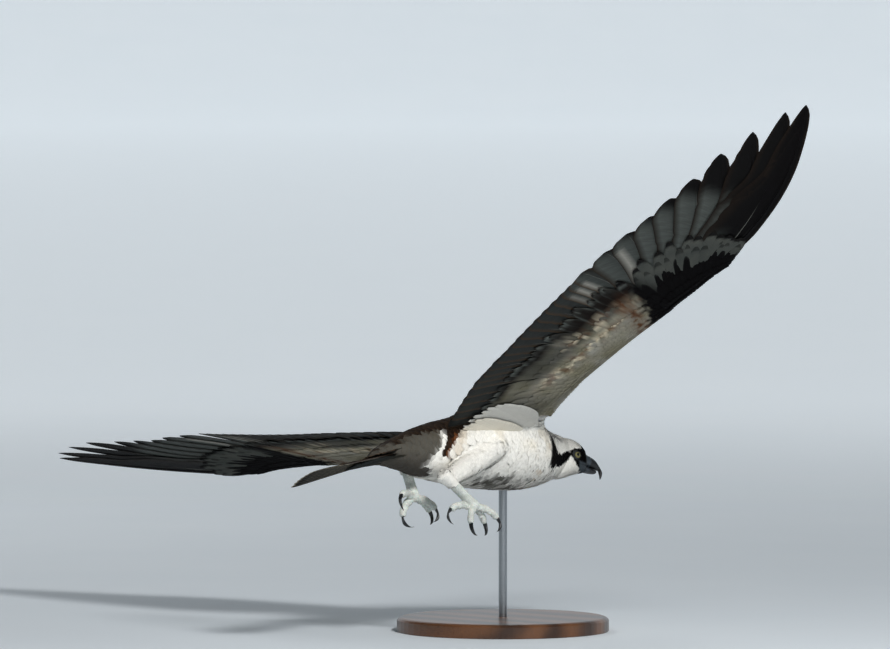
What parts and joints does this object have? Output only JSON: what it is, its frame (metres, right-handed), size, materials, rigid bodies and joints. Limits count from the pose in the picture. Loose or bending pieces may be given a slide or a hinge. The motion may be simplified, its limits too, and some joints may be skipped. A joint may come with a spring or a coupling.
{
  "type": "osprey in flight on a display stand",
  "caption": "Life-size osprey in banked gliding flight, wings spread, feet closed as round a catch, held above a round base by a rod",
  "frame": {"origin": "centre of the round base's underside, on the rod's axis", "axes": "bird heads towards -Y, its left wing towards +X, up +Z; the bird is banked 19 degrees left wing down and 9 degrees nose down"},
  "size_m": [1.4284, 0.5826, 0.7537],
  "materials": {
    "white_plumage": "matt, soft contour feathers",
    "brown_plumage": "matt, barred flight feathers and coverts",
    "bare_skin": "satin, small spiny scales",
    "horn": "satin black keratin",
    "eye": "glossy, yellow iris with a round black pupil",
    "stand_wood": "satin varnish on dark hardwood",
    "stand_steel": "brushed, drawn bar"
  },
  "bodies": {
    "root": {"head": "white_plumage", "neck": "white_plumage", "trunk": "white_plumage", "thigh_left": "white_plumage", "thigh_right": "white_plumage", "tail": "brown_plumage", "wing_left_arm": "brown_plumage", "wing_left_hand": "brown_plumage", "wing_right_arm": "brown_plumage", "wing_right_hand": "brown_plumage", "foot_left": "bare_skin", "foot_right": "bare_skin", "bill_upper": "horn", "bill_lower": "horn", "claw_left_1": "horn", "claw_left_2": "horn", "claw_left_3": "horn", "claw_left_4": "horn", "claw_right_1": "horn", "claw_right_2": "horn", "claw_right_3": "horn", "claw_right_4": "horn", "eye_left": "eye", "eye_right": "eye", "stand_base": "stand_wood", "stand_rod": "stand_steel"}
  },
  "joints": []
}
